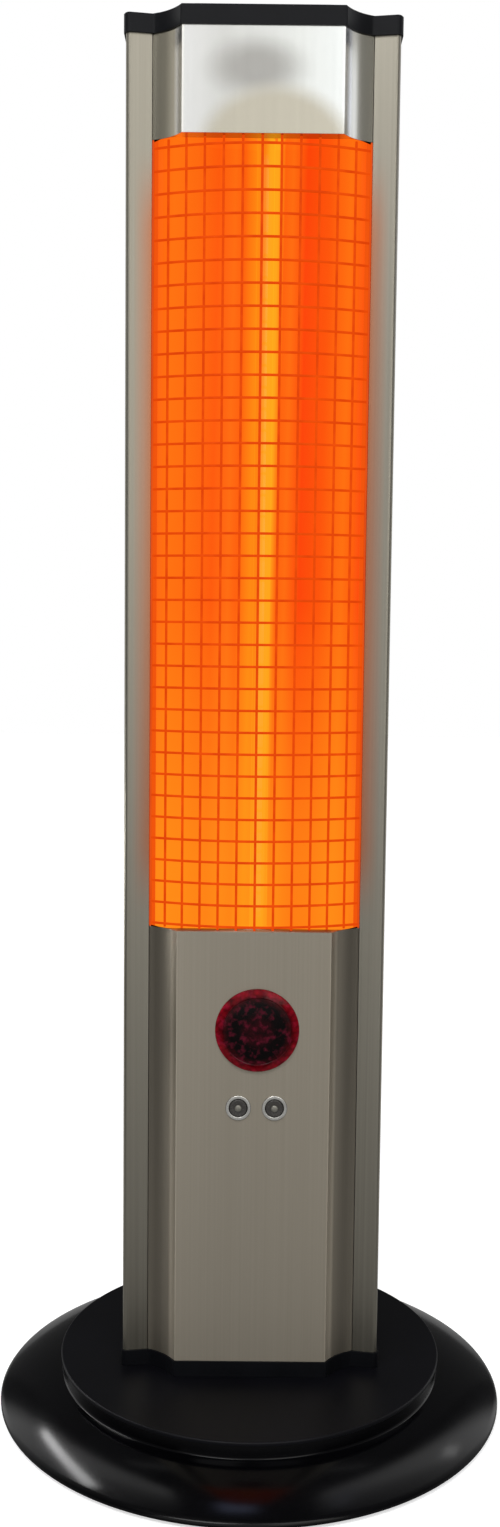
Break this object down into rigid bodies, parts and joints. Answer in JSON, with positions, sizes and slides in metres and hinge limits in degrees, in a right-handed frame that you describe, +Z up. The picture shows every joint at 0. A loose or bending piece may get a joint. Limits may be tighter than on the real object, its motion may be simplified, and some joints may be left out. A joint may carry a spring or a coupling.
{
  "type": "infrared patio heater tower",
  "caption": "Free-standing infrared patio heater tower on a round weighted base, with a wire-guarded lamp window, a remote receiver lens and push buttons on the front.",
  "frame": {"origin": "on the floor, under the middle of the round base", "axes": "+Z up along the tower, -Y towards the lamp window at the front, +X to the right seen from the front with the viewer facing +Y"},
  "size_m": [0.4, 0.4, 1.068],
  "materials": {
    "base_gloss": "glossy black moulded shell",
    "base_satin": "satin black powder coat on steel",
    "zinc_steel": "zinc-plated sheet steel",
    "iron_plate": "raw iron slab",
    "foot_rubber": "black rubber",
    "bolt_steel": "zinc-plated fasteners",
    "cap_black": "satin black moulded plastic",
    "rail_silver": "silver anodised extrusion",
    "cover_steel": "brushed stainless sheet",
    "back_paint": "grey painted sheet steel",
    "wire_steel": "bright steel wire, tinted by heat",
    "reflector_bright": "bright rolled aluminium reflector",
    "quartz": "clear quartz tube",
    "glowing_element": "glowing heating element",
    "white_ceramic": "off-white ceramic",
    "lens_red": "dark red translucent plastic",
    "button_black": "black plastic",
    "bezel_silver": "bright silver ring",
    "dot_silver": "light silver inlay",
    "board_green": "circuit board with black components",
    "switch_black": "black plastic",
    "block_white": "off-white nylon",
    "gland_black": "black nylon"
  },
  "bodies": {
    "tower": {"base_saucer": "base_gloss", "base_top_plate": "base_satin", "base_bottom_plate": "zinc_steel", "base_ballast": "iron_plate", "rubber_feet": "foot_rubber", "column_bolts": "bolt_steel", "column_bracket": "zinc_steel", "bottom_cap": "cap_black", "top_cap": "cap_black", "left_rail": "rail_silver", "right_rail": "rail_silver", "lower_front_cover": "cover_steel", "upper_front_cover": "cover_steel", "back_cover": "back_paint", "grille_cross_wires": "wire_steel", "grille_upright_wires": "wire_steel", "grille_side_strips": "wire_steel", "reflector": "reflector_bright", "heat_shield": "zinc_steel", "lower_end_plate": "reflector_bright", "upper_end_plate": "reflector_bright", "lower_lamp_holder": "white_ceramic", "upper_lamp_holder": "white_ceramic", "lower_lamp_ceramic": "white_ceramic", "upper_lamp_ceramic": "white_ceramic", "lamp_tube": "quartz", "lamp_element": "glowing_element", "thermal_cutout": "switch_black", "receiver_lens": "lens_red", "receiver_board": "board_green", "button_bezels": "bezel_silver", "tact_switches": "switch_black", "switch_board": "board_green", "chassis_plate": "zinc_steel", "board_spacers": "bolt_steel", "power_board": "board_green", "terminal_block": "block_white", "tip_switch_frame": "switch_black", "tip_switch_pin": "bolt_steel", "gland_body": "gland_black", "gland_cap": "gland_black", "gland_nut": "gland_black"},
    "left_button_press": {"left_button": "button_black", "left_button_dot": "dot_silver"},
    "right_button_press": {"right_button": "button_black", "right_button_dot": "dot_silver"},
    "tip_weight": {"tip_pendulum": "bolt_steel"}
  },
  "joints": [
    {"name": "left_button_slide", "type": "slide", "parent": "tower", "child": "left_button_press", "axis": [0, 1, 0], "range_m": [0, 0.0012], "stiffness_N_per_m": 800},
    {"name": "right_button_slide", "type": "slide", "parent": "tower", "child": "right_button_press", "axis": [0, 1, 0], "range_m": [0, 0.0012], "stiffness_N_per_m": 800},
    {"name": "tip_weight_swing", "type": "hinge", "parent": "tower", "child": "tip_weight", "pos_m": [0.028, -0.006, 0.0825], "axis": [0, 1, 0], "range_deg": [-20, 20]}
  ]
}
